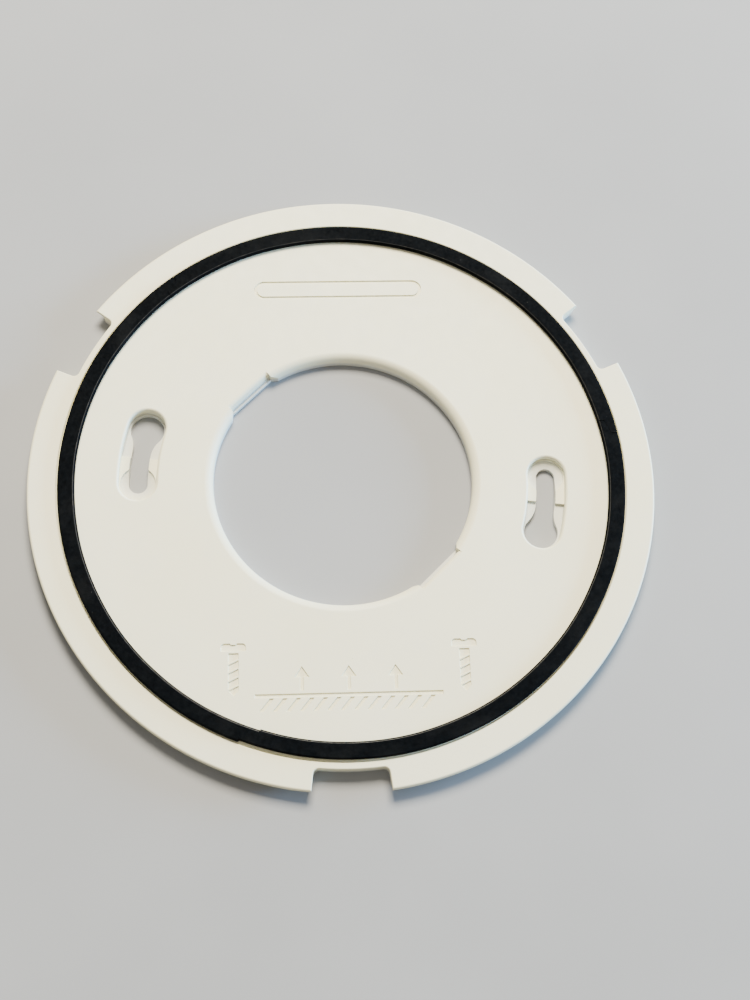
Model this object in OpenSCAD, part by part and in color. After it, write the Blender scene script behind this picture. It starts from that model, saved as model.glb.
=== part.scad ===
// Mounting plate of a round smoke detector, with its three-piece foam gasket.
// Millimetres. The back of the plate lies on z = 0 and the centre of the wire hole is the origin.
// The keyhole seats lie on the X axis; the detector twists on over the +Z side.

/* [Plate] */
// Outside diameter of the twist-lock flange
plate_d = 136; // [120:0.5:150]
// Height of the flange top above the wall
plate_h = 3.4; // [3:0.1:6]
// Thickness of the flange that the detector hooks under
flange_t = 1.4; // [1:0.1:2.5]
// How far the round face sits below the flange top
face_drop = 0.3; // [0.1:0.05:0.6]
// Diameter of the recessed round face
face_d = 123.7; // [110:0.1:130]
// Thickness of the face between the ribs
skin_t = 1.9; // [1.2:0.1:2.5]
// Diameter over the rim wall under the flange
rim_d = 131.8; // [128:0.1:134]
// Thickness of the rim wall and of the wall around the wire hole
wall_t = 1.8; // [1.2:0.1:3]
// Rounding of the top outer edge
edge_r = 0.5; // [0.2:0.1:1]

/* [Twist-lock notches] */
// Angle that each notch takes out of the flange
notch_deg = 14; // [8:0.5:24]
// Diameter across the floors of the notches
notch_d = 126.4; // [115:0.1:135]
// Rounding of the inner corners of a notch
notch_r = 1.2; // [0.5:0.1:2]
// Length of the thinned lead-in beside each notch
lead_len = 5; // [2:0.5:10]
// Thickness left at the tip of the lead-in
lead_t = 0.6; // [0.55:0.1:1.35]
// Thickness of the stop wall under the flange at the other side of each notch
stop_t = 1.8; // [1:0.1:3]
// How far the foot of a stop wall stands out from the rim wall
stop_foot = 0.3; // [0.1:0.1:1]

/* [Wire hole] */
// Diameter of the wire hole
hole_d = 56.4; // [40:0.2:70]
// Rounding around the top of the wire hole
hole_r = 1.9; // [0.5:0.1:2.5]
// Distance from the centre to the two flats low in the hole wall
flat_dist = 28.3; // [28.25:0.05:29]
// Length of each flat
flat_len = 11.8; // [6:0.2:16]
// Direction of the first flat, the other is opposite
flat_deg = 134; // [0:1:180]
// Run-out at both ends of a flat into the round wall
flat_ramp = 1.3; // [0.5:0.1:3]
// How much further back the wall lies above the ledge of a flat
ledge_w = 0.75; // [0.2:0.05:1.5]
// Height of the ledge
ledge_h = 1; // [0.5:0.1:1.5]
// Rounding of the face edge above a ledge
ledge_round = 1; // [0.5:0.1:1.5]

/* [Keyholes] */
// Distance between the two screw seats
seat_spacing = 88.9; // [80:0.1:100]
// Width of the narrow slot
slot_w = 4; // [3.6:0.1:5]
// Diameter of the wide end that the screw head passes through
entry_d = 7.3; // [6.5:0.1:9]
// Angle round the plate from the seat to the wide end
entry_deg = 16.5; // [12:0.5:22]
// Rounding where the slot opens into the wide end
neck_r = 6; // [2:0.5:10]
// Width of the recess around a keyhole
recess_w = 8.2; // [7:0.1:11]
// Height of the floor at the wide end
entry_floor = 1.1; // [0.8:0.1:1.6]
// Height of the two pads the screw head rides over
pad_h = 1.8; // [1.2:0.1:2.4]
// Angle round the plate at which the pads end
pad_deg = 7.7; // [6:0.1:10]
// Diameter of the sunk seat for the screw head
seat_d = 7.7; // [6:0.1:8]
// Height of the sunk seat at its rim
seat_h = 1.5; // [1.1:0.1:1.8]
// Height of the slot wall under the seat
slot_edge_h = 1; // [0.6:0.1:1.4]

/* [Gasket] */
// Outside diameter of the gasket ring
gasket_d = 123; // [110:0.1:123.3]
// Width of the gasket strip
gasket_w = 3.7; // [2:0.1:6]
// Thickness of the foam
gasket_t = 1; // [0.6:0.1:3]
// Thickness of the adhesive film under the foam
film_t = 0.15; // [0.05:0.05:0.3]
// Direction of the first joint between segments
joint_1_deg = 8.4; // [0:0.1:90]
// Direction of the second joint
joint_2_deg = 127; // [105:0.1:195]
// Direction of the third joint
joint_3_deg = 247.8; // [210:0.1:315]
// Angle that a stepped joint covers
joint_span = 3.9; // [1:0.1:8]
// Gap left between neighbouring segments
joint_gap = 0.1; // [0.05:0.01:0.3]

/* [Moulded marks] */
// Depth of the sunk marks
mark_depth = 0.3; // [0.1:0.05:0.5]
// Width of the mark strokes
mark_w = 0.7; // [0.4:0.05:1.2]
// Length of the blank panel
panel_len = 38; // [20:1:50]
// Width of the blank panel
panel_w = 4.5; // [3:0.1:8]
// Distance from the centre to the middle of the blank panel
panel_y = 45.7; // [40:0.1:52]
// Distance from the centre line to each screw mark
screw_mark_x = 24.1; // [10:0.1:30]
// How far both screw marks are off the centre line
mark_shift = 0.2; // [-1:0.1:1]
// Where the head of a screw mark lies
screw_mark_y = -36.4; // [-45:0.1:-32]
// Length of the hatched wall under the arrows
wall_mark_len = 39; // [20:1:44]
// Where the surface of the hatched wall lies
wall_mark_y = -47.3; // [-50:0.1:-40]

/* [Ribs] */
// Number of ribs behind the face
rib_count = 12; // [6:1:24]
// Thickness of a rib
rib_t = 1.2; // [0.8:0.1:2]
// Gap between the ribs and the wall
rib_gap = 0.4; // [0.1:0.1:1]

/* [Hidden] */
$fn = 96;
eps = 0.01;
end_lap = 0.04;
notch_count = 3;
turn = 360 / notch_count;
plate_r = plate_d / 2;
rim_r = rim_d / 2;
notch_floor_r = notch_d / 2;
face_z = plate_h - face_drop;
skin_z = face_z - skin_t;
flange_z = plate_h - flange_t;
bore_r = hole_d / 2;
seat_r = seat_spacing / 2;
gasket_r = gasket_d / 2;
gasket_mid = gasket_r - gasket_w / 2;
film_z = face_z + film_t;
joints_deg = [joint_1_deg, joint_2_deg, joint_3_deg, joint_1_deg + 360];
notch_centre_deg = 30;
boss_w = recess_w + 2 * wall_t;

module turned(degrees) {
    rotate([0, 0, degrees]) children();
}

// A bar of the plan, starting at the origin and running along +X
module ray(length, width) {
    translate([0, -width / 2]) square([length, width]);
}

// A slice of the plan from one direction to another, less than half a turn
module slice(from_deg, to_deg, radius) {
    middle = (from_deg + to_deg) / 2;
    reach = radius / cos((to_deg - from_deg) / 4);
    polygon([
        [0, 0],
        radius * [cos(from_deg), sin(from_deg)],
        reach * [cos(middle), sin(middle)],
        radius * [cos(to_deg), sin(to_deg)]
    ]);
}

// A slot of even width bent along the screw circle, from one direction to another.
// Its round ends are a hair wider, so that they cross the sides cleanly.
module arc_slot(width, from_deg, to_deg) {
    intersection() {
        difference() {
            circle(r = seat_r + width / 2, $fn = 240);
            circle(r = seat_r - width / 2, $fn = 240);
        }
        slice(from_deg, to_deg, plate_r);
    }
    for (a = [from_deg, to_deg])
        turned(a) translate([seat_r, 0]) circle(d = width + end_lap);
}

// ---- mounting plate ----

module plate_blank() {
    rotate_extrude($fn = 240) difference() {
        union() {
            // flange with its rounded top edge
            translate([bore_r, flange_z]) square([plate_r - edge_r - bore_r, flange_t]);
            translate([bore_r, flange_z]) square([plate_r - bore_r, flange_t - edge_r]);
            translate([plate_r - edge_r, plate_h - edge_r]) circle(r = edge_r, $fn = 48);
            translate([bore_r, 0]) square([rim_r - bore_r, plate_h]);
        }
        // the face lies a little lower than the flange
        translate([0, face_z]) square([face_d / 2, plate_h]);
        // rounding around the top of the wire hole
        translate([bore_r, face_z - hole_r]) difference() {
            translate([-1, 0]) square([1 + hole_r, hole_r + 1]);
            translate([hole_r, 0]) circle(r = hole_r, $fn = 72);
            translate([hole_r, -1]) square(2 * hole_r);
        }
    }
}

// The plate is hollow behind its face, between the walls, the ribs and the keyhole bosses
module back_pockets() {
    translate([0, 0, -1]) linear_extrude(skin_z + 1) difference() {
        pocket_plan();
        for (i = [0:rib_count - 1])
            turned((i + 0.5) * 360 / rib_count) ray(plate_r, rib_t);
    }
    // the ribs stop short of the wall
    translate([0, 0, -1]) linear_extrude(rib_gap + 1) pocket_plan();
}

module pocket_plan() {
    side_deg = wall_t / rim_r * 180 / PI;
    difference() {
        circle(r = rim_r - wall_t, $fn = 240);
        circle(r = bore_r + wall_t, $fn = 240);
        for (i = [0:notch_count - 1])
            turned(notch_centre_deg + i * turn) difference() {
                slice(-notch_deg / 2 - side_deg, notch_deg / 2 + side_deg, plate_r);
                circle(r = notch_floor_r - wall_t, $fn = 240);
            }
        for (a = [0, 180])
            turned(a) arc_slot(boss_w, -entry_deg, 0);
    }
}

module notches() {
    for (i = [0:notch_count - 1])
        turned(notch_centre_deg + i * turn)
            translate([0, 0, -1]) linear_extrude(plate_h + 2)
                difference() {
                    slice(-notch_deg / 2, notch_deg / 2, plate_r + 4);
                    circle(r = notch_floor_r, $fn = 240);
                    notch_corners();
                }
}

// What stays in the two inner corners of a notch, so that they are rounded
module notch_corners() {
    lift = asin(notch_r / (notch_floor_r + notch_r));
    for (side = [-1, 1])
        difference() {
            turned(side * notch_deg / 2)
                translate([notch_floor_r - 1, side > 0 ? -notch_r : -eps])
                    square([1 + notch_r * cos(lift), notch_r + eps]);
            turned(side * (notch_deg / 2 - lift))
                translate([notch_floor_r + notch_r, 0]) circle(r = notch_r, $fn = 48);
        }
}

// Walls under the flange that stop the detector turning the wrong way
module stop_walls() {
    root = rim_r - edge_r;
    top = plate_h - 2 * edge_r;
    for (i = [0:notch_count - 1])
        turned(notch_centre_deg + notch_deg / 2 + i * turn)
            translate([0, stop_t, 0]) rotate([90, 0, 0]) linear_extrude(stop_t + 1)
                polygon([[root, 0], [rim_r + stop_foot, 0], [plate_r - stop_foot, top], [root, top]]);
}

// Each flange sector gets thinner from below towards its leading end
module lead_ins() {
    slope = (flange_t - lead_t) / lead_len;
    over = 1;
    clear = 0.2;
    for (i = [0:notch_count - 1])
        turned(notch_centre_deg - notch_deg / 2 + i * turn)
            translate([rim_r + clear, 0, flange_z])
                rotate([0, -90, 180]) linear_extrude(plate_r) polygon([
                    [-over, -over], [slope * (lead_len + over), -over],
                    [-slope * over, lead_len + over], [-over, lead_len + over]
                ]);
}

// Two flats opposite each other in the wall of the wire hole, each with a ledge
module wire_flats() {
    half = flat_len / 2;
    inside = bore_r - 1;
    back = flat_dist + ledge_w;
    for (a = [flat_deg, flat_deg + 180])
        turned(a) {
            // the flat itself
            translate([0, 0, -1]) linear_extrude(plate_h + 2) polygon([
                [0, -half - flat_ramp], [inside, -half - flat_ramp], [flat_dist, -half],
                [flat_dist, half], [inside, half + flat_ramp], [0, half + flat_ramp]
            ]);
            // the step back above the ledge, with its rounded top edge
            translate([0, half, 0]) rotate([90, 0, 0]) linear_extrude(flat_len) difference() {
                translate([inside, ledge_h]) square([back + ledge_round - inside, plate_h]);
                translate([back + ledge_round, face_z - ledge_round]) circle(r = ledge_round, $fn = 72);
                translate([back, 0]) square([2 * ledge_round, face_z - ledge_round]);
            }
        }
}

module keyhole() {
    depth = face_z + 1;
    // recess above the pads, and the deeper part around the wide end
    translate([0, 0, pad_h]) linear_extrude(depth) arc_slot(recess_w, -entry_deg, 0);
    translate([0, 0, entry_floor]) linear_extrude(pad_h - entry_floor)
        intersection() {
            arc_slot(recess_w, -entry_deg, 0);
            slice(-entry_deg * 2, -pad_deg, plate_r);
        }
    // slot, wide end and the flare between them
    translate([0, 0, -1]) linear_extrude(depth) {
        arc_slot(slot_w, -entry_deg, 0);
        turned(-entry_deg) {
            translate([seat_r, 0]) circle(d = entry_d);
            neck_flare();
        }
    }
    // sunk seat for the screw head
    translate([seat_r, 0, seat_h]) cylinder(d = seat_d, h = depth);
    translate([seat_r, 0, slot_edge_h])
        cylinder(d1 = slot_w, d2 = seat_d, h = seat_h - slot_edge_h);
}

// Space between the two roundings that lead from the slot into the wide end
module neck_flare() {
    reach = entry_d / 2 + neck_r;
    inner = seat_r - slot_w / 2 - neck_r;
    outer = seat_r + slot_w / 2 + neck_r;
    // directions of the two rounding centres, by the law of cosines
    inner_deg = acos((inner ^ 2 + seat_r ^ 2 - reach ^ 2) / (2 * inner * seat_r));
    outer_deg = acos((outer ^ 2 + seat_r ^ 2 - reach ^ 2) / (2 * outer * seat_r));
    inner_at = inner * [cos(inner_deg), sin(inner_deg)];
    outer_at = outer * [cos(outer_deg), sin(outer_deg)];
    difference() {
        polygon([[seat_r, 0], inner_at, outer_at]);
        translate(inner_at) circle(r = neck_r);
        translate(outer_at) circle(r = neck_r);
    }
}

module mounting_plate() {
    color("linen") difference() {
        union() {
            plate_blank();
            stop_walls();
        }
        back_pockets();
        notches();
        lead_ins();
        wire_flats();
        turned(0) keyhole();
        turned(180) keyhole();
        moulded_marks();
    }
}

// ---- moulded marks ----

module moulded_marks() {
    translate([0, 0, face_z - mark_depth]) linear_extrude(1) {
        translate([0, panel_y]) blank_panel();
        for (x = [-1, 1] * screw_mark_x)
            translate([x + mark_shift, screw_mark_y]) screw_mark();
        translate([0, wall_mark_y]) away_mark();
    }
}

// An empty oblong panel outline
module blank_panel() {
    difference() {
        oblong(panel_len, panel_w);
        oblong(panel_len - 2 * mark_w, panel_w - 2 * mark_w);
    }
}

module oblong(length, height) {
    square([length - height, height], center = true);
    for (side = [-1, 1])
        translate([side * (length - height) / 2, 0]) circle(d = height, $fn = 48);
}

// A small picture of a screw with its point down and the top of its head at y = 0
module screw_mark() {
    head_w = 5.2;
    head_h = 1.6;
    corner = head_h / 2;
    dip_r = 0.9;
    shank_w = 2.1;
    shank_top = -2.1;
    shank_end = -9.9;
    tip = -11;
    thread_top = -4.1;
    thread_t = 0.35;
    thread_rise = 1;
    pitch = 1.8;
    // head with round shoulders and a dip for the driver
    difference() {
        union() {
            translate([-head_w / 2, -head_h]) square([head_w, head_h - corner]);
            translate([corner - head_w / 2, -head_h]) square([head_w - 2 * corner, head_h]);
            for (side = [-1, 1])
                translate([side * (head_w / 2 - corner), -corner]) circle(r = corner, $fn = 32);
        }
        translate([0, dip_r / 2]) circle(r = dip_r, $fn = 32);
    }
    // shank with raised threads
    difference() {
        polygon([
            [-shank_w / 2, shank_top], [shank_w / 2, shank_top],
            [shank_w / 2, shank_end], [0, tip], [-shank_w / 2, shank_end]
        ]);
        for (i = [0:3])
            translate([0, thread_top - i * pitch]) polygon([
                [-shank_w, -thread_rise], [shank_w, thread_rise],
                [shank_w, thread_rise + thread_t], [-shank_w, thread_t - thread_rise]
            ]);
    }
}

// Arrows that point away from a hatched wall whose surface is at y = 0
module away_mark() {
    half = wall_mark_len / 2;
    hatch = 3.6;
    slant = 2.2;
    pitch = wall_mark_len / 14;
    arrow_h = 5;
    head_w = 3;
    head_h = 2.2;
    translate([-half, -mark_w]) square([wall_mark_len, mark_w]);
    for (i = [0:12])
        translate([-half + (i + 0.3) * pitch, 0]) polygon([
            [0, -hatch], [mark_w * 1.2, -hatch], [mark_w * 1.2 + slant, -mark_w / 2], [slant, -mark_w / 2]
        ]);
    for (i = [-1:1])
        translate([i * wall_mark_len / 4, mark_w]) {
            translate([-mark_w / 2, 0]) square([mark_w, arrow_h - head_h]);
            translate([0, arrow_h - head_h])
                polygon([[-head_w / 2, 0], [head_w / 2, 0], [0, head_h]]);
        }
}

// ---- gasket and its adhesive ----

// The stepped line across the strip where two segments meet, from outside to inside
function joint_line(start) = [
    for (p = [
        [gasket_r + 2, start - joint_span * 0.3],
        [gasket_mid, start + joint_span * 0.2],
        [gasket_mid, start + joint_span * 0.8],
        [gasket_r - gasket_w - 2, start + joint_span * 1.3]
    ]) p[0] * [cos(p[1]), sin(p[1])]
];

function reversed(list) = [for (i = [len(list) - 1:-1:0]) list[i]];

module gasket_outline(index) {
    start = joints_deg[index];
    end = joints_deg[index + 1];
    gap_deg = joint_gap / gasket_mid * 180 / PI;
    middle = (start + end) / 2;
    quarter = (end - start) / 4;
    intersection() {
        difference() {
            circle(r = gasket_r, $fn = 240);
            circle(r = gasket_r - gasket_w, $fn = 240);
        }
        polygon(concat(
            joint_line(start),
            reversed(joint_line(end - gap_deg)),
            [for (a = [quarter, 0, -quarter]) 2 * gasket_r * [cos(middle + a), sin(middle + a)]]
        ));
    }
}

module gasket_segment(index) {
    color("dimgray") translate([0, 0, film_z]) linear_extrude(gasket_t) gasket_outline(index);
}

module adhesive_film(index) {
    color("gainsboro") translate([0, 0, face_z]) linear_extrude(film_t) gasket_outline(index);
}

mounting_plate();
gasket_segment(0);  // gasket_segment_1
gasket_segment(1);  // gasket_segment_2
gasket_segment(2);  // gasket_segment_3
adhesive_film(0);  // adhesive_film_1
adhesive_film(1);  // adhesive_film_2
adhesive_film(2);  // adhesive_film_3
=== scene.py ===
import math

import bmesh
import bpy
from mathutils import Matrix, Quaternion, Vector


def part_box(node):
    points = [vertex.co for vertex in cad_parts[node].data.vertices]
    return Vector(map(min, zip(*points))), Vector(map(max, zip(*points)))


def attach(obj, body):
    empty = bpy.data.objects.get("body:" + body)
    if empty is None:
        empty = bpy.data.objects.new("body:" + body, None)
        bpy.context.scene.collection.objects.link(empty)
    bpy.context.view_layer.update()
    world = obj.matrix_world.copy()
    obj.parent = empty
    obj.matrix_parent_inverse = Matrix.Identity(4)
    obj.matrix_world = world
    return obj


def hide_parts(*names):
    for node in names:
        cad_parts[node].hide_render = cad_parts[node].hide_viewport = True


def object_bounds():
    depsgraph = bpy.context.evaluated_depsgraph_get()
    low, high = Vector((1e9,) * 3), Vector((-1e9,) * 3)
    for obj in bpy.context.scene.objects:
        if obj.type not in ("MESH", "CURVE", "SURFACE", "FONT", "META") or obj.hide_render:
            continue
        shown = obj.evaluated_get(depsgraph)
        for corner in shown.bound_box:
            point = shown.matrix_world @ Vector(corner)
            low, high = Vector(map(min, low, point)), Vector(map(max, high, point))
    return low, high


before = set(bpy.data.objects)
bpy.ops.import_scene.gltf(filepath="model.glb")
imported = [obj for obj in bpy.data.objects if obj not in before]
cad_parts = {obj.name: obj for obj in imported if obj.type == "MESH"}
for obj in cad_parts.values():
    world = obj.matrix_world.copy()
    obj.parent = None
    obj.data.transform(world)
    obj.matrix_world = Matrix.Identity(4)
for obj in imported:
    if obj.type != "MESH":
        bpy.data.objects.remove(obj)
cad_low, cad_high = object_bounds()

# A smoke detector's mounting plate with its foam gasket, in the frame of the CAD part.
# The outlines and sizes below are in millimetres, and MM turns them into Blender's metres.

MM = 0.001

# ---- sizes of the plate, as in the CAD part ----

PLATE_R = cad_high.x / MM
PLATE_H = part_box("mounting_plate")[1].z / MM
FACE_DROP = 0.3
FACE_Z = PLATE_H - FACE_DROP
FACE_R = 61.85
FLANGE_T = 1.4
FLANGE_Z = PLATE_H - FLANGE_T
RIM_R = 65.9
WALL_T = 1.8
SKIN_Z = FACE_Z - 1.9
HOLE_R = 28.2
HOLE_ROUND = 1.9
EDGE_R = 0.5
FLANGE_CHAMFER = 0.15
FOOT_CHAMFER = 0.2
STEP_CHAMFER = 0.12
GROOVE_W = 0.22
GROOVE_FLOOR_W = 0.18
GROOVE_D = 0.3

NOTCH_DIRECTIONS = (30, 150, 270)
NOTCH_HALF = 7
NOTCH_FLOOR_R = 63.2
NOTCH_CORNER = 1.2
NOTCH_LIP = 0.25
STOP_T = 1.8
LEAD_LEN = 5
LEAD_T = 0.6

FLAT_DIRECTIONS = (134, 314)
FLAT_DIST = 28.3
FLAT_LEN = 11.8
FLAT_RAMP = 1.3
LEDGE_W = 0.75
LEDGE_H = 1.0
LEDGE_ROUND = 1.0

KEYHOLE_DIRECTIONS = (0, 180)
SEAT_R = 44.45
SLOT_HALF = 2.0
ENTRY_R = 3.65
ENTRY_DEG = 16.5
NECK_R = 6.0
RECESS_HALF = 4.1
RECESS_LIP = 0.55
ENTRY_FLOOR = 1.1
PAD_H = 1.8
PAD_DEG = 7.7
DISH_R = 3.85
DISH_H = 1.5
SLOT_EDGE_H = 1.0

GASKET_R = 61.5
GASKET_W = 3.7
FOAM_LOW = FACE_Z + 0.15
FOAM_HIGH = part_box("gasket_segment_1")[1].z / MM
JOINT_STARTS = (8.4, 127.0, 247.8)
JOINT_SPAN = 3.9
JOINT_GAP = 0.12
STRIP_STEPS = 200
FILM_INSET = 0.06

RIBS = 12
RIB_T = 1.2
RIB_GAP = 0.4

MARK_DEPTH = 0.3
MARK_W = 0.7
PANEL_LENGTH = 38
PANEL_HEIGHT = 4.5
PANEL_Y = 45.7
SCREW_MARK_X = (-23.9, 24.3)
SCREW_MARK_Y = -36.4
AWAY_MARK_Y = -47.3

# ---- how cutters and joined parts overlap the plate, and how sharp edges stay ----

BEYOND = 4
BELOW = -1
ABOVE = 6
INTO_WALL = 0.5
INTO_SKIN_Z = SKIN_Z + 0.3
PLATE_CREASE_DEG = 32
FOAM_CREASE_DEG = 50
FILM_CREASE_DEG = 30


# ---- outlines in the plan: lists of (x, y) in millimetres, counterclockwise ----


def polar(radius, degrees):
    a = math.radians(degrees)
    return (radius * math.cos(a), radius * math.sin(a))


def arc(centre, radius, from_deg, to_deg, steps):
    """Points along an arc, both ends included."""
    points = []
    for i in range(steps + 1):
        x, y = polar(radius, from_deg + (to_deg - from_deg) * i / steps)
        points.append((centre[0] + x, centre[1] + y))
    return points


def turned(points, degrees):
    c, s = math.cos(math.radians(degrees)), math.sin(math.radians(degrees))
    return [(x * c - y * s, x * s + y * c) for x, y in points]


def shifted(points, dx, dy):
    return [(x + dx, y + dy) for x, y in points]


def rectangle(x0, y0, x1, y1):
    return [(x0, y0), (x1, y0), (x1, y1), (x0, y1)]


def oblong(length, height):
    straight, half = (length - height) / 2, height / 2
    return arc((straight, 0), half, -90, 90, 16) + arc((-straight, 0), half, 90, 270, 16)


def slot_outline(half, from_deg, to_deg):
    """An even slot bent along the screw circle, with round ends."""
    outline = arc((0, 0), SEAT_R + half, from_deg, to_deg, 24)
    outline += arc(polar(SEAT_R, to_deg), half, to_deg, to_deg + 180, 20)[1:]
    outline += arc((0, 0), SEAT_R - half, to_deg, from_deg, 24)[1:]
    outline += arc(polar(SEAT_R, from_deg), half, from_deg + 180, from_deg + 360, 20)[1:-1]
    return outline


def direction_to(here, there):
    return math.degrees(math.atan2(there[1] - here[1], there[0] - here[0]))


def keyhole_outline(grow):
    """The narrow slot, the two roundings of its neck and the wide end, widened by grow."""
    half, wide, neck = SLOT_HALF + grow, ENTRY_R + grow, NECK_R - grow
    reach = ENTRY_R + NECK_R
    inner_r = SEAT_R - SLOT_HALF - NECK_R
    outer_r = SEAT_R + SLOT_HALF + NECK_R
    inner_deg = neck_direction(inner_r, reach) - ENTRY_DEG
    outer_deg = neck_direction(outer_r, reach) - ENTRY_DEG
    inner_at, outer_at = polar(inner_r, inner_deg), polar(outer_r, outer_deg)
    wide_at = polar(SEAT_R, -ENTRY_DEG)
    to_inner = direction_to(wide_at, inner_at)
    to_outer = direction_to(wide_at, outer_at)
    outline = arc(wide_at, wide, to_inner, to_outer + 360, 44)
    outline += arc(outer_at, neck, to_outer + 180, outer_deg + 180, 10)[1:]
    outline += arc((0, 0), SEAT_R + half, outer_deg, 0, 10)[1:]
    outline += arc(polar(SEAT_R, 0), half, 0, 180, 24)[1:]
    outline += arc((0, 0), SEAT_R - half, 0, inner_deg, 10)[1:]
    outline += arc(inner_at, neck, inner_deg, to_inner - 180, 10)[1:-1]
    return outline


def neck_direction(radius, reach):
    """Angle from the wide end to the centre of a neck rounding, by the law of cosines."""
    cosine = (radius ** 2 + SEAT_R ** 2 - reach ** 2) / (2 * radius * SEAT_R)
    return math.degrees(math.acos(cosine))


def notch_outline(grow):
    """One notch of the flange, pointing along +X, with its inner corners rounded."""
    corner = NOTCH_CORNER + grow
    floor = NOTCH_FLOOR_R - grow
    centre_r = NOTCH_FLOOR_R + NOTCH_CORNER
    centre_deg = NOTCH_HALF - math.degrees(math.asin(NOTCH_CORNER / centre_r))
    side = polar(grow, NOTCH_HALF + 90)
    far = polar(PLATE_R + BEYOND, NOTCH_HALF)
    top = (far[0] + side[0], far[1] + side[1])
    outline = [(top[0], -top[1]), top]
    outline += arc(polar(centre_r, centre_deg), corner, NOTCH_HALF + 90, centre_deg + 180, 8)
    outline += arc((0, 0), floor, centre_deg, -centre_deg, 24)[1:-1]
    outline += arc(polar(centre_r, -centre_deg), corner, 180 - centre_deg, 270 - NOTCH_HALF, 8)
    return outline


def grown(points, distance):
    """A polygon with each side moved outwards by the same distance, less at its sharpest corners."""
    least_cosine = 0.35
    result = []
    for i, here in enumerate(points):
        before, after = Vector(points[i - 1]), Vector(points[(i + 1) % len(points)])
        here = Vector(here)
        first, second = (here - before).normalized(), (after - here).normalized()
        out_first, out_second = Vector((first.y, -first.x)), Vector((second.y, -second.x))
        middle = (out_first + out_second).normalized()
        cosine = max(least_cosine, middle.dot(out_first))
        result.append(tuple(here + middle * distance / cosine))
    return result


# ---- solids ----


def new_mesh_object(name, points, faces):
    mesh = bpy.data.meshes.new(name)
    mesh.from_pydata([tuple(c * MM for c in p) for p in points], [], faces)
    obj = bpy.data.objects.new(name, mesh)
    bpy.context.scene.collection.objects.link(obj)
    bm = bmesh.new()
    bm.from_mesh(mesh)
    bmesh.ops.recalc_face_normals(bm, faces=bm.faces)
    bmesh.ops.triangulate(bm, faces=[f for f in bm.faces if len(f.verts) > 4])
    bm.to_mesh(mesh)
    bm.free()
    return obj


def loft(name, levels):
    """A closed solid through levels of (height, outline), lowest first, all with the same count."""
    count = len(levels[0][1])
    points = [(x, y, z) for z, outline in levels for x, y in outline]
    faces = []
    for k in range(len(levels) - 1):
        a, b = k * count, (k + 1) * count
        for i in range(count):
            j = (i + 1) % count
            faces.append((a + i, a + j, b + j, b + i))
    faces.append(tuple(reversed(range(count))))
    faces.append(tuple(range((len(levels) - 1) * count, len(levels) * count)))
    return new_mesh_object(name, points, faces)


def revolved(name, profile, steps=480):
    """A closed ring from a closed profile of (radius, height)."""
    count = len(profile)
    points, faces = [], []
    for i in range(steps):
        for r, z in profile:
            x, y = polar(r, 360 * i / steps)
            points.append((x, y, z))
    for i in range(steps):
        a, b = i * count, (i + 1) % steps * count
        for k in range(count):
            m = (k + 1) % count
            faces.append((a + k, b + k, b + m, a + m))
    return new_mesh_object(name, points, faces)


def lipped(outline_at, floor, lip, top):
    """Levels of a cutter with straight walls and a rounded lip at height top."""
    steps, lip_turn_deg = 6, 82
    levels = [(floor, outline_at(0)), (top - lip, outline_at(0))]
    for i in range(1, steps + 1):
        a = math.radians(lip_turn_deg * i / steps)
        levels.append((top - lip + lip * math.sin(a), outline_at(lip * (1 - math.cos(a)))))
    levels.append((ABOVE, levels[-1][1]))
    return levels


def combine(target, tool, operation):
    """Cuts tool from target, or joins it on, and removes tool."""
    change = target.modifiers.new("change", "BOOLEAN")
    change.operation = operation
    change.solver = "MANIFOLD"
    change.object = tool
    bpy.context.view_layer.update()
    shape = target.evaluated_get(bpy.context.evaluated_depsgraph_get())
    mesh = bpy.data.meshes.new_from_object(shape)
    target.modifiers.clear()
    old = target.data
    target.data = mesh
    bpy.data.meshes.remove(old)
    tool_mesh = tool.data
    bpy.data.objects.remove(tool)
    bpy.data.meshes.remove(tool_mesh)


def smooth_with_creases(obj, crease_deg):
    """Smooth shading that stays crisp at edges sharper than crease_deg and flat on large faces."""
    merge_mm = 0.002
    bm = bmesh.new()
    bm.from_mesh(obj.data)
    bmesh.ops.remove_doubles(bm, verts=bm.verts, dist=merge_mm * MM)
    for face in bm.faces:
        face.smooth = True
    for edge in bm.edges:
        sharp = len(edge.link_faces) == 2 and edge.calc_face_angle(0) > math.radians(crease_deg)
        edge.smooth = not sharp
    bm.to_mesh(obj.data)
    bm.free()
    weighted = obj.modifiers.new("weighted", "WEIGHTED_NORMAL")
    weighted.keep_sharp = True
    weighted.weight = 100


# ---- the moulded plate ----


def plate_profile():
    """Section of the plate from the wire hole round to the flange and back, as (radius, height)."""
    profile = [(HOLE_R, 0.0), (HOLE_R, FACE_Z - HOLE_ROUND)]
    profile += arc((HOLE_R + HOLE_ROUND, FACE_Z - HOLE_ROUND), HOLE_ROUND, 180, 90, 16)[1:]
    # a fine groove at the foot of the step up to the flange
    profile += [(FACE_R - GROOVE_W, FACE_Z)]
    profile += [(FACE_R - GROOVE_FLOOR_W, FACE_Z - GROOVE_D), (FACE_R, FACE_Z - GROOVE_D)]
    profile += [(FACE_R, PLATE_H - STEP_CHAMFER), (FACE_R + STEP_CHAMFER, PLATE_H)]
    profile += arc((PLATE_R - EDGE_R, PLATE_H - EDGE_R), EDGE_R, 90, 0, 8)
    profile += [(PLATE_R, FLANGE_Z + FLANGE_CHAMFER), (PLATE_R - FLANGE_CHAMFER, FLANGE_Z)]
    profile += [(RIM_R, FLANGE_Z), (RIM_R, FOOT_CHAMFER), (RIM_R - FOOT_CHAMFER, 0.0)]
    profile += [(RIM_R - WALL_T, 0.0), (RIM_R - WALL_T, SKIN_Z)]
    profile += [(HOLE_R + WALL_T, SKIN_Z), (HOLE_R + WALL_T, 0.0)]
    return profile


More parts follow.
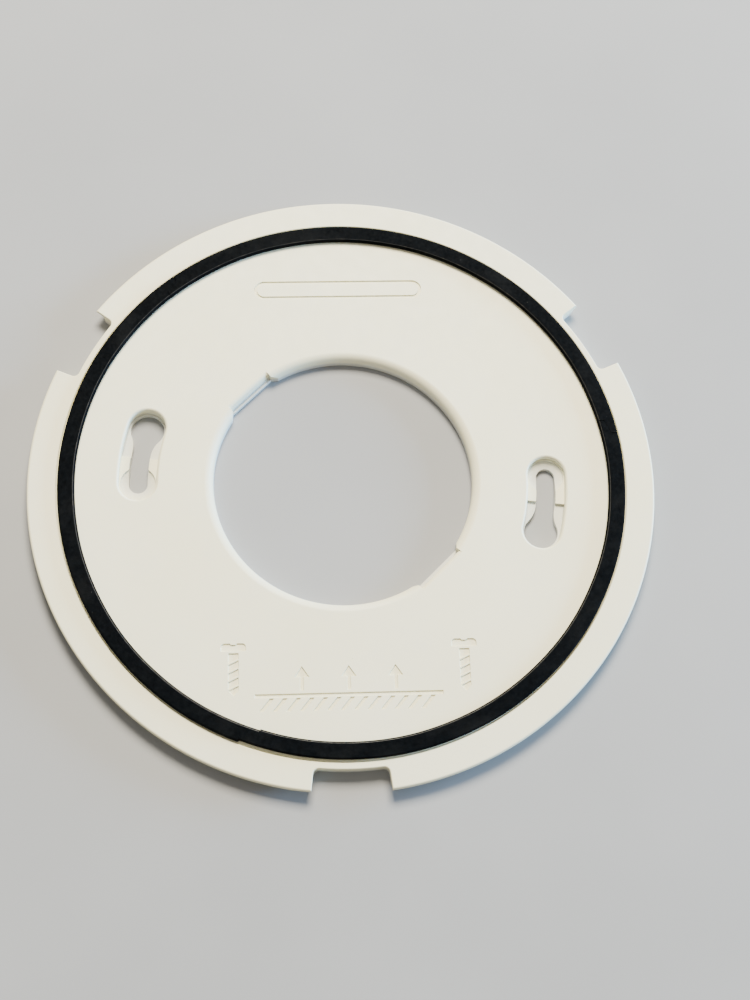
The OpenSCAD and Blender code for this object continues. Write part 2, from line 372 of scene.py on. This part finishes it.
def turned_loft(name, levels, degrees):
    return loft(name, [(z, turned(outline, degrees)) for z, outline in levels])


def add_back(plate):
    """Ribs, keyhole bosses and the walls behind the notches."""
    outline = rectangle(HOLE_R + 1, -RIB_T / 2, RIM_R - 1, RIB_T / 2)
    levels = [(RIB_GAP, outline), (INTO_SKIN_Z, outline)]
    for i in range(RIBS):
        combine(plate, turned_loft("rib", levels, (i + 0.5) * 360 / RIBS), "UNION")
    outline = slot_outline(RECESS_HALF + WALL_T, -ENTRY_DEG, 0)
    levels = [(0, outline), (INTO_SKIN_Z, outline)]
    for side in KEYHOLE_DIRECTIONS:
        combine(plate, turned_loft("boss", levels, side), "UNION")
    reach = NOTCH_HALF + math.degrees(WALL_T / RIM_R)
    outline = arc((0, 0), RIM_R - INTO_WALL, -reach, reach, 24)
    outline += arc((0, 0), NOTCH_FLOOR_R - WALL_T, reach, -reach, 24)
    levels = [(0, outline), (INTO_SKIN_Z, outline)]
    for direction in NOTCH_DIRECTIONS:
        combine(plate, turned_loft("notch_wall", levels, direction), "UNION")


def add_stop_walls(plate):
    """The wall under the flange that closes one side of each notch, wider towards the flange."""
    step, from_y = 0.3, -1
    low = rectangle(RIM_R - INTO_WALL, from_y, RIM_R + step, STOP_T)
    high = rectangle(RIM_R - INTO_WALL, from_y, PLATE_R - step, STOP_T)
    levels = [(0, low), (PLATE_H - 2 * EDGE_R, high)]
    for direction in NOTCH_DIRECTIONS:
        combine(plate, turned_loft("stop_wall", levels, direction + NOTCH_HALF), "UNION")


def cut_notches(plate):
    levels = lipped(notch_outline, BELOW, NOTCH_LIP, PLATE_H)
    for direction in NOTCH_DIRECTIONS:
        combine(plate, turned_loft("notch", levels, direction), "DIFFERENCE")
        combine(plate, lead_in_cutter(direction - NOTCH_HALF), "DIFFERENCE")


def lead_in_cutter(direction):
    """A wedge that thins the flange from below towards its leading end."""
    slope = (FLANGE_T - LEAD_T) / LEAD_LEN
    over = 1
    x0, x1 = RIM_R + 0.2, PLATE_R + BEYOND
    section = [
        (over, FLANGE_Z - over),
        (over, FLANGE_Z + slope * (LEAD_LEN + over)),
        (-LEAD_LEN - over, FLANGE_Z - slope * over),
        (-LEAD_LEN - over, FLANGE_Z - over),
    ]
    points = [(x, y, z) for x in (x0, x1) for y, z in section]
    faces = [(0, 1, 2, 3), (7, 6, 5, 4)]
    faces += [(i, (i + 1) % 4, (i + 1) % 4 + 4, i + 4) for i in range(4)]
    cutter = new_mesh_object("lead_in", points, faces)
    cutter.data.transform(rotation_about_z(direction))
    return cutter


def rotation_about_z(degrees):
    return Matrix.Rotation(math.radians(degrees), 4, "Z")


def cut_wire_flats(plate):
    """Two opposite flats low in the wall of the wire hole, each with a ledge."""
    half = FLAT_LEN / 2
    inside = HOLE_R - 2
    outline = [
        (inside, -half - FLAT_RAMP),
        (HOLE_R - 1, -half - FLAT_RAMP),
        (FLAT_DIST, -half),
        (FLAT_DIST, half),
        (HOLE_R - 1, half + FLAT_RAMP),
        (inside, half + FLAT_RAMP),
    ]
    levels = [(BELOW, outline), (ABOVE, outline)]
    for direction in FLAT_DIRECTIONS:
        combine(plate, turned_loft("flat", levels, direction), "DIFFERENCE")
        combine(plate, ledge_cutter(inside, half, direction), "DIFFERENCE")


def ledge_cutter(inside, half, direction):
    """A prism over one ledge, chamfered at its foot and rounded towards the face."""
    chamfer = 0.1
    back = FLAT_DIST + LEDGE_W
    section = [(inside, LEDGE_H), (back - chamfer, LEDGE_H), (back, LEDGE_H + chamfer)]
    section += arc((back + LEDGE_ROUND, FACE_Z - LEDGE_ROUND), LEDGE_ROUND, 180, 97, 8)
    section += [(back + LEDGE_ROUND, ABOVE), (inside, ABOVE)]
    count = len(section)
    points = [(x, y, z) for y in (-half, half) for x, z in section]
    faces = [tuple(range(count)), tuple(reversed(range(count, 2 * count)))]
    faces += [(i, i + count, (i + 1) % count + count, (i + 1) % count) for i in range(count)]
    cutter = new_mesh_object("ledge", points, faces)
    cutter.data.transform(rotation_about_z(direction))
    return cutter


def recess_outline(grow):
    return slot_outline(RECESS_HALF + grow, -ENTRY_DEG, 0)


def cut_keyholes(plate):
    """The recess with its low floor, then the keyhole itself and the seat of the screw head."""
    recess = lipped(recess_outline, PAD_H, RECESS_LIP, FACE_Z)
    low_part = sector_slot(RECESS_HALF - 0.03, -ENTRY_DEG, -PAD_DEG)
    low_floor = [(ENTRY_FLOOR, low_part), (PAD_H + 0.3, low_part)]
    above_pads = PAD_H + 0.5
    slot = [
        (BELOW, keyhole_outline(0)),
        (ENTRY_FLOOR - 0.15, keyhole_outline(0)),
        (ENTRY_FLOOR - 0.02, keyhole_outline(0.06)),
        (ENTRY_FLOOR + 0.2, keyhole_outline(0.12)),
        (above_pads, keyhole_outline(0.14)),
    ]
    dish = [
        (SLOT_EDGE_H, SLOT_HALF),
        (DISH_H - 0.08, DISH_R - 0.1),
        (DISH_H, DISH_R),
        (above_pads, DISH_R),
    ]
    for side in KEYHOLE_DIRECTIONS:
        combine(plate, turned_loft("recess", recess, side), "DIFFERENCE")
        combine(plate, turned_loft("low_floor", low_floor, side), "DIFFERENCE")
        combine(plate, turned_loft("slot", slot, side), "DIFFERENCE")
        seat = polar(SEAT_R, side)
        levels = [(z, arc(seat, r, 0, 360, 64)[:-1]) for z, r in dish]
        combine(plate, loft("dish", levels), "DIFFERENCE")


def sector_slot(half, from_deg, to_deg):
    """A bent slot with a round end at from_deg and a straight radial end at to_deg."""
    outline = arc((0, 0), SEAT_R + half, from_deg, to_deg, 24)
    outline += arc((0, 0), SEAT_R - half, to_deg, from_deg, 24)
    outline += arc(polar(SEAT_R, from_deg), half, from_deg + 180, from_deg + 360, 20)[1:-1]
    return outline


# ---- moulded marks ----


def engrave(plate, outline):
    """Sinks an outline into the face, with slightly sloping walls."""
    levels = [
        (FACE_Z - MARK_DEPTH, grown(outline, -0.04)),
        (FACE_Z - 0.08, outline),
        (FACE_Z, grown(outline, 0.06)),
        (FACE_Z + 0.4, grown(outline, 0.1)),
    ]
    combine(plate, loft("mark", levels), "DIFFERENCE")


def panel_outline(inset, more):
    """The oblong of the panel, set in by inset all round and longer and higher by more."""
    outline = oblong(PANEL_LENGTH - 2 * inset + more, PANEL_HEIGHT - 2 * inset + more)
    return shifted(outline, 0, PANEL_Y)


def engrave_panel(plate):
    """An empty oblong outline above the wire hole, with slightly sloping walls."""
    bottom_slope, top_slope = 0.08, 0.1
    outer = loft("panel", [
        (FACE_Z - MARK_DEPTH, panel_outline(0, -bottom_slope)),
        (FACE_Z + 0.4, panel_outline(0, top_slope)),
    ])
    core = loft("core", [
        (-2, panel_outline(MARK_W, bottom_slope)),
        (FACE_Z + 1, panel_outline(MARK_W, -top_slope)),
    ])
    combine(outer, core, "DIFFERENCE")
    combine(plate, outer, "DIFFERENCE")


def screw_mark_outlines():
    """A small screw with its point down: the head, then its shank in pieces between the threads."""
    head_half, head_h, corner, edge = 2.6, 1.6, 0.8, 0.1
    slot_half, slot_foot_half, slot_d = 0.75, 0.45, 0.3
    shank_half, top, end, tip = 1.05, -2.1, -9.9, -11.0
    thread_top, thread_t, thread_rise, pitch = -4.1, 0.35, 0.5, 1.8
    head = [(-head_half, -head_h + edge), (-head_half + edge, -head_h)]
    head += [(head_half - edge, -head_h), (head_half, -head_h + edge)]
    head += arc((head_half - corner, -corner), corner, 0, 90, 8)
    head += [(slot_half, 0), (slot_foot_half, -slot_d), (-slot_foot_half, -slot_d), (-slot_half, 0)]
    head += arc((-head_half + corner, -corner), corner, 90, 180, 8)
    outlines = [head]
    upper_left = upper_right = top
    for i in range(4):
        middle = thread_top - i * pitch
        left, right = middle - thread_rise + thread_t, middle + thread_rise + thread_t
        outlines.append([
            (-shank_half, left), (shank_half, right),
            (shank_half, upper_right), (-shank_half, upper_left),
        ])
        upper_left, upper_right = left - thread_t, right - thread_t
    # the last thread runs into the point, so the tip starts where the two slopes meet
    slope, thread_slope = (end - tip) / shank_half, thread_rise / shank_half
    middle = (upper_left + upper_right) / 2
    x = (tip - middle) / (slope + thread_slope)
    tip_start = (x, middle + thread_slope * x)
    outlines.append([tip_start, (0, tip), (shank_half, end), (shank_half, upper_right)])
    return outlines


def away_mark_outlines():
    """Arrows that point away from a hatched wall whose surface is at y = 0."""
    length, hatch, slant, gap = 39.0, 3.6, 2.2, 0.25
    pitch, stroke = length / 14, MARK_W * 1.2
    shaft, head_h, head_half = 2.8, 2.2, 1.5
    outlines = [rectangle(-length / 2, -MARK_W, length / 2, 0)]
    foot = -MARK_W - gap
    for i in range(13):
        x = -length / 2 + (i + 0.3) * pitch
        outlines.append([
            (x, -hatch), (x + stroke, -hatch),
            (x + stroke + slant, foot), (x + slant, foot),
        ])
    low, half = MARK_W, MARK_W / 2
    high = low + shaft
    for i in (-1, 0, 1):
        x = i * length / 4
        outlines.append([
            (x - half, low), (x + half, low), (x + half, high), (x + head_half, high),
            (x, high + head_h), (x - head_half, high), (x - half, high),
        ])
    return outlines


def engrave_marks(plate):
    engrave_panel(plate)
    for x in SCREW_MARK_X:
        for outline in screw_mark_outlines():
            engrave(plate, shifted(outline, x, SCREW_MARK_Y))
    for outline in away_mark_outlines():
        engrave(plate, shifted(outline, 0, AWAY_MARK_Y))


def make_plate():
    plate = revolved("plate_moulding", plate_profile())
    add_back(plate)
    add_stop_walls(plate)
    cut_notches(plate)
    cut_wire_flats(plate)
    cut_keyholes(plate)
    engrave_marks(plate)
    smooth_with_creases(plate, PLATE_CREASE_DEG)
    return plate


# ---- foam gasket and its adhesive ----


def film_section(low, high):
    """Closed section of an adhesive strip: (distance across from the inner edge, height)."""
    return rectangle(FILM_INSET, low, GASKET_W - FILM_INSET, high)


def foam_section(low, high):
    """Closed section of a foam strip, from the cut edge along its inner top round to the top."""
    w = GASKET_W
    outer = 0.38
    section = [(0.42, high), (0.31, high - 0.05), (0.11, high - 0.14), (0.0, high - 0.38)]
    section += [(0.0, low + 0.3), (0.04, low), (w / 4, low), (w / 2, low), (3 * w / 4, low)]
    section += [(w - 0.05, low), (w, low + 0.12)]
    section += arc((w - outer, high - outer), outer, 0, 90, 6)
    section += [(w * k / 10, high) for k in (8, 7, 6, 5, 4, 3, 2)]
    return section


def eased(t):
    """From 0 to 1 as t does, with a soft start and end."""
    t = min(1, max(0, t))
    return t * t * (3 - 2 * t)


def joint_offset(across):
    """How far round a joint lies at a distance across the strip: a step with a slanted middle."""
    share = 1 - across / GASKET_W
    step = eased((share - 0.36) / 0.28)
    return JOINT_SPAN * (0.12 * share + 0.76 * step + 0.06)


def strip_wander(segment, degrees, across):
    """Sideways wander of a strip laid by hand. The third strip starts a little further in."""
    wander = 0.05 * math.sin(math.radians(degrees * 3 + 70 * segment))
    wander += 0.02 * math.sin(math.radians(degrees * 17))
    if segment == 2:
        fade_deg = 46
        share = eased(1 - (degrees - JOINT_STARTS[segment]) / fade_deg)
        wander -= (0.2 + 0.15 * across / GASKET_W) * share
    return wander


def strip_lift(degrees, across):
    """Slight unevenness of the top of the foam, between -2 and 2."""
    return math.sin(degrees * 1.9 + across) + math.sin(degrees * 0.73)


def strip(name, segment, section, unevenness=0.0):
    """One gasket strip, bent round the plate, with stepped ends."""
    top_z = FOAM_HIGH - 0.2
    start, after = JOINT_STARTS[segment], JOINT_STARTS[(segment + 1) % 3]
    sweep = (after - start) % 360
    gap = math.degrees(JOINT_GAP / GASKET_R)
    count = len(section)
    points, faces = [], []
    for i in range(STRIP_STEPS + 1):
        u = i / STRIP_STEPS
        for across, z in section:
            degrees = start + joint_offset(across) + u * (sweep - gap)
            radius = GASKET_R - GASKET_W + across + strip_wander(segment, degrees, across)
            x, y = polar(radius, degrees)
            lift = unevenness * strip_lift(degrees, across) if z > top_z else 0
            points.append((x, y, z + lift))
    for i in range(STRIP_STEPS):
        a, b = i * count, (i + 1) * count
        for k in range(count):
            m = (k + 1) % count
            faces.append((a + k, a + m, b + m, b + k))
    last = STRIP_STEPS * count
    faces.append(tuple(reversed(range(count))))
    faces.append(tuple(range(last, last + count)))
    return new_mesh_object(name, points, faces)


def make_gasket():
    unevenness, headroom = 0.012, 0.03
    foam_shape = foam_section(FOAM_LOW, FOAM_HIGH - headroom)
    film_shape = film_section(FACE_Z, FOAM_LOW)
    foams, films = [], []
    for segment in range(3):
        foam = strip(f"foam_strip_{segment + 1}", segment, foam_shape, unevenness)
        smooth_with_creases(foam, FOAM_CREASE_DEG)
        film = strip(f"adhesive_strip_{segment + 1}", segment, film_shape)
        smooth_with_creases(film, FILM_CREASE_DEG)
        foams.append(foam)
        films.append(film)
    return foams, films


# ---- materials ----


class Nodes:
    """Short calls for building a material's node tree."""

    def __init__(self, name):
        self.material = bpy.data.materials.new(name)
        self.material.use_nodes = True
        self.tree = self.material.node_tree
        self.shader = self.tree.nodes["Principled BSDF"]
        self.place = self.tree.nodes.new("ShaderNodeTexCoord").outputs["Object"]

    def link(self, a, b):
        self.tree.links.new(a, b)

    def noise(self, size_mm, detail=3.0, roughness=0.5):
        node = self.tree.nodes.new("ShaderNodeTexNoise")
        node.inputs["Scale"].default_value = 1 / (size_mm * MM)
        node.inputs["Detail"].default_value = detail
        node.inputs["Roughness"].default_value = roughness
        self.link(self.place, node.inputs["Vector"])
        return node.outputs["Fac"]

    def cells(self, size_mm):
        node = self.tree.nodes.new("ShaderNodeTexVoronoi")
        node.inputs["Scale"].default_value = 1 / (size_mm * MM)
        self.link(self.place, node.inputs["Vector"])
        return node.outputs["Distance"]

    def height(self):
        node = self.tree.nodes.new("ShaderNodeSeparateXYZ")
        self.link(self.place, node.inputs["Vector"])
        return node.outputs["Z"]

    def ramp(self, value, low, high, colour_low, colour_high):
        node = self.tree.nodes.new("ShaderNodeValToRGB")
        node.color_ramp.elements[0].position = low
        node.color_ramp.elements[1].position = high
        node.color_ramp.elements[0].color = (*colour_low, 1)
        node.color_ramp.elements[1].color = (*colour_high, 1)
        self.link(value, node.inputs["Fac"])
        return node.outputs["Color"]

    def spread(self, value, low, high, to_low, to_high):
        node = self.tree.nodes.new("ShaderNodeMapRange")
        node.inputs["From Min"].default_value = low
        node.inputs["From Max"].default_value = high
        node.inputs["To Min"].default_value = to_low
        node.inputs["To Max"].default_value = to_high
        self.link(value, node.inputs["Value"])
        return node.outputs["Result"]

    def mix(self, share, a, b):
        node = self.tree.nodes.new("ShaderNodeMix")
        node.data_type = "RGBA"
        self.link(share, node.inputs["Factor"])
        for socket, value in ((node.inputs["A"], a), (node.inputs["B"], b)):
            if isinstance(value, tuple):
                socket.default_value = (*value, 1)
            else:
                self.link(value, socket)
        return node.outputs["Result"]

    def maths(self, operation, a, b):
        node = self.tree.nodes.new("ShaderNodeMath")
        node.operation = operation
        for socket, value in zip(node.inputs, (a, b)):
            if isinstance(value, (int, float)):
                socket.default_value = value
            else:
                self.link(value, socket)
        return node.outputs["Value"]

    def bump(self, height, depth_mm, strength=1.0, under=None):
        node = self.tree.nodes.new("ShaderNodeBump")
        node.inputs["Strength"].default_value = strength
        node.inputs["Distance"].default_value = depth_mm * MM
        self.link(height, node.inputs["Height"])
        if under is not None:
            self.link(under, node.inputs["Normal"])
        return node.outputs["Normal"]


def plate_material():
    """Warm off-white moulded plastic with a fine grain, faint mottling and a few specks."""
    n = Nodes("moulded_plastic")
    mottle = n.noise(26, 4, 0.55)
    base = n.ramp(mottle, 0.3, 0.7, (0.832, 0.790, 0.545), (0.858, 0.822, 0.600))
    grime = n.spread(n.noise(7, 5, 0.6), 0.45, 0.8, 0.0, 0.22)
    base = n.mix(grime, base, (0.735, 0.700, 0.600))
    speck = n.spread(n.cells(5.5), 0.0, 0.022, 1.0, 0.0)
    speck = n.maths("MULTIPLY", speck, n.spread(n.noise(11, 1), 0.56, 0.60, 0.0, 0.8))
    base = n.mix(speck, base, (0.16, 0.13, 0.10))
    # painted shade: everything lower than 1.75 mm, fully so below 1.0 mm, is painted greyer, meant
    # for the low keyhole floors where the plastic is slim and light leaks through
    painted_thin_shade = n.spread(n.height(), 1.0 * MM, 1.75 * MM, 1.0, 0.0)
    base = n.mix(painted_thin_shade, base, (0.63, 0.62, 0.55))
    n.link(base, n.shader.inputs["Base Color"])
    n.link(n.spread(n.noise(3.2, 4), 0.3, 0.7, 0.46, 0.58), n.shader.inputs["Roughness"])
    grain = n.noise(0.34, 3, 0.6)
    fine = n.noise(0.11, 2, 0.5)
    grained = n.bump(fine, 0.006, 0.5, under=n.bump(grain, 0.012, 0.55))
    n.link(grained, n.shader.inputs["Normal"])
    n.shader.inputs["IOR"].default_value = 1.5
    n.shader.inputs["Specular IOR Level"].default_value = 0.42
    n.shader.inputs["Subsurface Weight"].default_value = 0.08
    n.shader.inputs["Subsurface Radius"].default_value = (1.0, 0.85, 0.6)
    n.shader.inputs["Subsurface Scale"].default_value = 0.6 * MM
    return n.material


def foam_material():
    """Black closed-cell foam: matte, finely pitted, with light dust specks."""
    n = Nodes("closed_cell_foam")
    tone = n.noise(0.9, 5, 0.65)
    base = n.ramp(tone, 0.3, 0.72, (0.0002, 0.0005, 0.0009), (0.0020, 0.0028, 0.0038))
    rubbed = n.spread(n.noise(9.0, 4, 0.6), 0.50, 0.72, 0.0, 0.45)
    base = n.mix(rubbed, base, (0.0085, 0.0090, 0.0095))
    dust = n.spread(n.cells(1.7), 0.0, 0.065, 1.0, 0.0)
    dust = n.maths("MULTIPLY", dust, n.spread(n.noise(4.5, 1), 0.5, 0.58, 0.0, 0.6))
    base = n.mix(dust, base, (0.11, 0.108, 0.10))
    n.link(base, n.shader.inputs["Base Color"])
    n.link(n.spread(n.noise(0.5, 3), 0.3, 0.7, 0.62, 0.82), n.shader.inputs["Roughness"])
    pits = n.cells(0.22)
    wave = n.noise(1.1, 3, 0.5)
    n.link(n.bump(pits, 0.05, 0.5, under=n.bump(wave, 0.05, 0.4)), n.shader.inputs["Normal"])
    n.shader.inputs["Specular IOR Level"].default_value = 0.03
    return n.material


def foam_edge_highlight_material():
    """The cut inner edge of the foam, a little shinier, with patchy pale traces painted on as its
    highlight.
    """
    n = Nodes("foam_edge_painted_highlight")
    # painted highlight: the patchy pale colour stands in for the glint of light along this rounded
    # edge
    painted_glint = n.spread(n.noise(1.6, 4, 0.7), 0.48, 0.62, 0.0, 1.0)
    base = n.mix(painted_glint, (0.003, 0.0035, 0.004), (0.024, 0.021, 0.017))
    n.link(base, n.shader.inputs["Base Color"])
    n.link(n.spread(n.noise(0.6, 3), 0.3, 0.7, 0.35, 0.6), n.shader.inputs["Roughness"])
    n.link(n.bump(n.noise(0.4, 3), 0.03, 0.5), n.shader.inputs["Normal"])
    n.shader.inputs["Specular IOR Level"].default_value = 0.28
    return n.material


def adhesive_material():
    """Thin cloudy adhesive film."""
    n = Nodes("adhesive_film")
    base = n.ramp(n.noise(2.0, 4), 0.3, 0.7, (0.020, 0.019, 0.017), (0.045, 0.042, 0.037))
    n.link(base, n.shader.inputs["Base Color"])
    n.link(n.spread(n.noise(0.8, 3), 0.3, 0.7, 0.22, 0.4), n.shader.inputs["Roughness"])
    n.link(n.bump(n.noise(0.9, 3), 0.02, 0.4), n.shader.inputs["Normal"])
    n.shader.inputs["Specular IOR Level"].default_value = 0.5
    return n.material


def floor_material():
    """Plain pale studio paper."""
    n = Nodes("studio_paper")
    base = n.ramp(n.noise(60, 3), 0.3, 0.7, (0.30, 0.303, 0.308), (0.33, 0.333, 0.338))
    n.link(base, n.shader.inputs["Base Color"])
    n.shader.inputs["Roughness"].default_value = 0.9
    n.link(n.bump(n.noise(0.6, 3), 0.02, 0.3), n.shader.inputs["Normal"])
    return n.material


# ---- camera, floor and lights ----


def make_camera():
    """Looks down on the plate from the front, turned a little about its own axis."""
    lens_mm = 54.07
    place = Vector((-9.7, -114.1, 308.6)) * MM
    aim = Vector((6.9, -4.1, 0.0)) * MM
    roll_deg = 7.05
    camera = bpy.data.objects.new("camera", bpy.data.cameras.new("camera"))
    bpy.context.scene.collection.objects.link(camera)
    camera.data.lens = lens_mm
    camera.data.sensor_width = 36
    camera.data.clip_start = 0.01
    camera.location = place
    look = (aim - place).to_track_quat("-Z", "Y")
    camera.rotation_mode = "QUATERNION"
    camera.rotation_quaternion = look @ Quaternion((0, 0, 1), math.radians(roll_deg))
    bpy.context.scene.camera = camera


def make_floor():
    half_m = 1.5
    corners = [(x, y, 0) for x, y in rectangle(-half_m, -half_m, half_m, half_m)]
    mesh = bpy.data.meshes.new("floor")
    mesh.from_pydata(corners, [], [(0, 1, 2, 3)])
    floor = bpy.data.objects.new("floor", mesh)
    bpy.context.scene.collection.objects.link(floor)
    floor.location.z = -0.02 * MM
    floor.data.materials.append(floor_material())


def area_light(name, place, size, power, colour):
    light = bpy.data.lights.new(name, "AREA")
    light.shape = "RECTANGLE"
    light.size, light.size_y = size
    light.energy = power
    light.color = colour
    obj = bpy.data.objects.new(name, light)
    bpy.context.scene.collection.objects.link(obj)
    obj.location = place
    obj.rotation_mode = "QUATERNION"
    obj.rotation_quaternion = (-Vector(place)).to_track_quat("-Z", "Y")


def make_lights():
    area_light("ceiling", (0.10, 0.80, 0.98), (0.6, 0.5), 56.0, (1.0, 0.925, 0.76))
    area_light("window", (1.0, 0.20, 0.17), (0.5, 0.26), 46.0, (0.32, 0.60, 1.0))
    world = bpy.data.worlds.new("studio")
    world.use_nodes = True
    background = world.node_tree.nodes["Background"]
    background.inputs["Color"].default_value = (1.0, 0.965, 0.90, 1)
    background.inputs["Strength"].default_value = 0.45
    bpy.context.scene.world = world


# ---- assembly ----


def dress(obj, material):
    obj.data.materials.clear()
    obj.data.materials.append(material)
    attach(obj, "root")


def mark_highlight_edge(foam, material):
    """Gives the narrow facet along the inner top edge, the first of each section, its own look: the
    painted highlight.
    """
    foam.data.materials.append(material)
    count = len(foam_section(FOAM_LOW, FOAM_HIGH))
    for i in range(STRIP_STEPS):
        foam.data.polygons[i * count].material_index = 1


make_camera()
make_floor()
make_lights()

plate = make_plate()
dress(plate, plate_material())
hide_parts("mounting_plate")

foams, films = make_gasket()
foam_look, edge_highlight_look, film_look = foam_material(), foam_edge_highlight_material(), adhesive_material()
for number, (foam, film) in enumerate(zip(foams, films), start=1):
    dress(foam, foam_look)
    mark_highlight_edge(foam, edge_highlight_look)
    dress(film, film_look)
    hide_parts(f"gasket_segment_{number}")
    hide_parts(f"adhesive_film_{number}")
